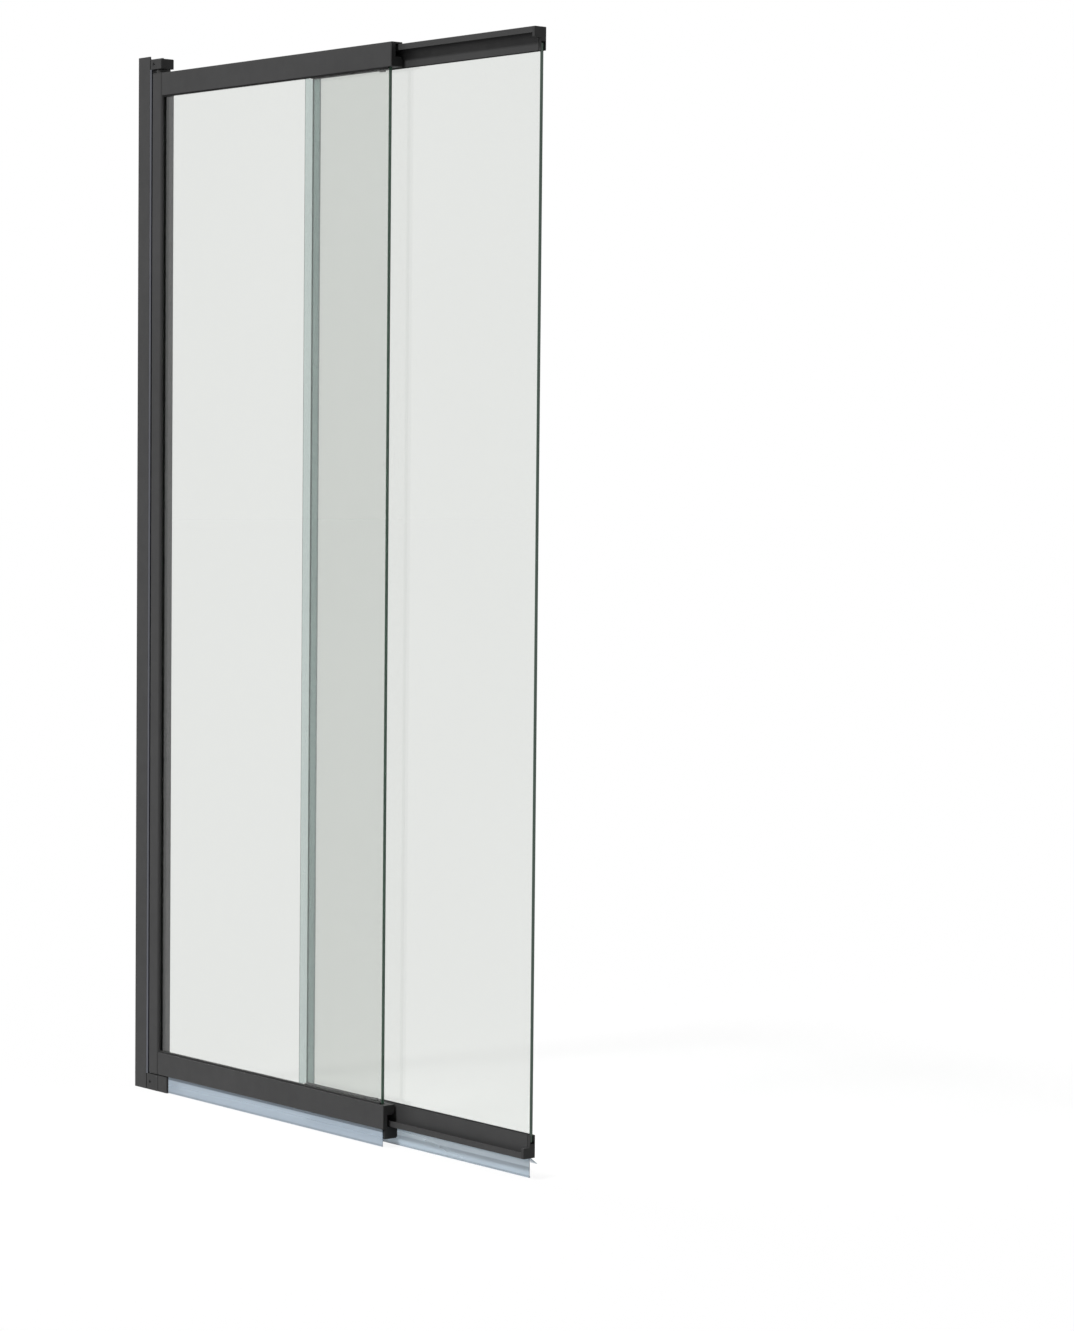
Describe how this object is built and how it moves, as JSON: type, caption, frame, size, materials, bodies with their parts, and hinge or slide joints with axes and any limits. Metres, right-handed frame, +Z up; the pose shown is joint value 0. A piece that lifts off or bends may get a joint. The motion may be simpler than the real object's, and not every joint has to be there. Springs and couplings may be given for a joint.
{
  "type": "bath screen",
  "caption": "Wall-hung bath screen: matt black aluminium frame, a clear glass panel that pivots at the wall and a second glass panel that slides behind it, with drip seals.",
  "frame": {"origin": "foot of the wall face, midway between front and back of the wall profile, level with the bath rim", "axes": "+X out from the wall along the screen, +Y into the bath, +Z up"},
  "size_m": [0.8815, 0.0383, 1.5],
  "materials": {
    "black_frame": "matt black powder coat on aluminium extrusion",
    "black_plastic": "moulded, fine satin texture",
    "grey_plastic": "moulded, smoky grey",
    "hinge_seal": "soft extruded strip, dark blue-grey, slightly glossy",
    "clear_seal": "soft translucent extruded strip with a bluish cast",
    "black_rubber": "matt glazing gasket",
    "white_bearing": "self-lubricating bearing plastic",
    "stainless": "plain stainless steel",
    "dark_steel": "blackened steel",
    "clear_glass": "clear toughened glass with polished green edges"
  },
  "bodies": {
    "wall_mount": {"wall_profile": "black_frame", "adjusting_profile": "black_frame", "hinge_seal": "hinge_seal", "top_hinge_cap": "black_plastic", "bottom_pivot_foot": "black_plastic", "top_pivot_pin": "stainless", "bottom_pivot_pin": "stainless", "thrust_washer": "white_bearing", "hinge_grub_screws": "dark_steel", "side_screws": "stainless"},
    "pivot_panel": {"hinge_stile": "black_frame", "top_pivot_bush": "black_plastic", "bottom_pivot_bush": "black_plastic", "spacer_washer": "black_plastic", "pivot_top_rail": "black_frame", "pivot_bottom_rail": "black_frame", "pivot_glass": "clear_glass", "pivot_top_gaskets": "black_rubber", "pivot_bottom_gaskets": "black_rubber", "stile_gaskets": "black_rubber", "pivot_setting_blocks": "black_rubber", "rail_screws": "stainless", "top_end_guide": "black_plastic", "bottom_end_guide": "black_plastic", "pivot_drip_seal": "clear_seal", "drip_seal_end_block": "grey_plastic"},
    "sliding_panel": {"slider_top_rail": "black_frame", "slider_bottom_rail": "black_frame", "slider_glass": "clear_glass", "slider_top_gaskets": "black_rubber", "slider_bottom_gaskets": "black_rubber", "slider_setting_blocks": "black_rubber", "slider_top_end_cap": "black_plastic", "slider_bottom_end_cap": "black_plastic", "top_guide_shoe": "black_plastic", "bottom_guide_shoe": "black_plastic", "shoe_screws": "stainless", "side_seal": "clear_seal", "slider_drip_seal": "clear_seal"}
  },
  "joints": [
    {"name": "screen_pivot", "type": "hinge", "parent": "wall_mount", "child": "pivot_panel", "pos_m": [0.046, 0, 0], "axis": [0, 0, 1], "range_deg": [-90, 90]},
    {"name": "panel_slide", "type": "slide", "parent": "pivot_panel", "child": "sliding_panel", "axis": [1, 0, 0], "range_m": [-0.29, 0.12]}
  ]
}
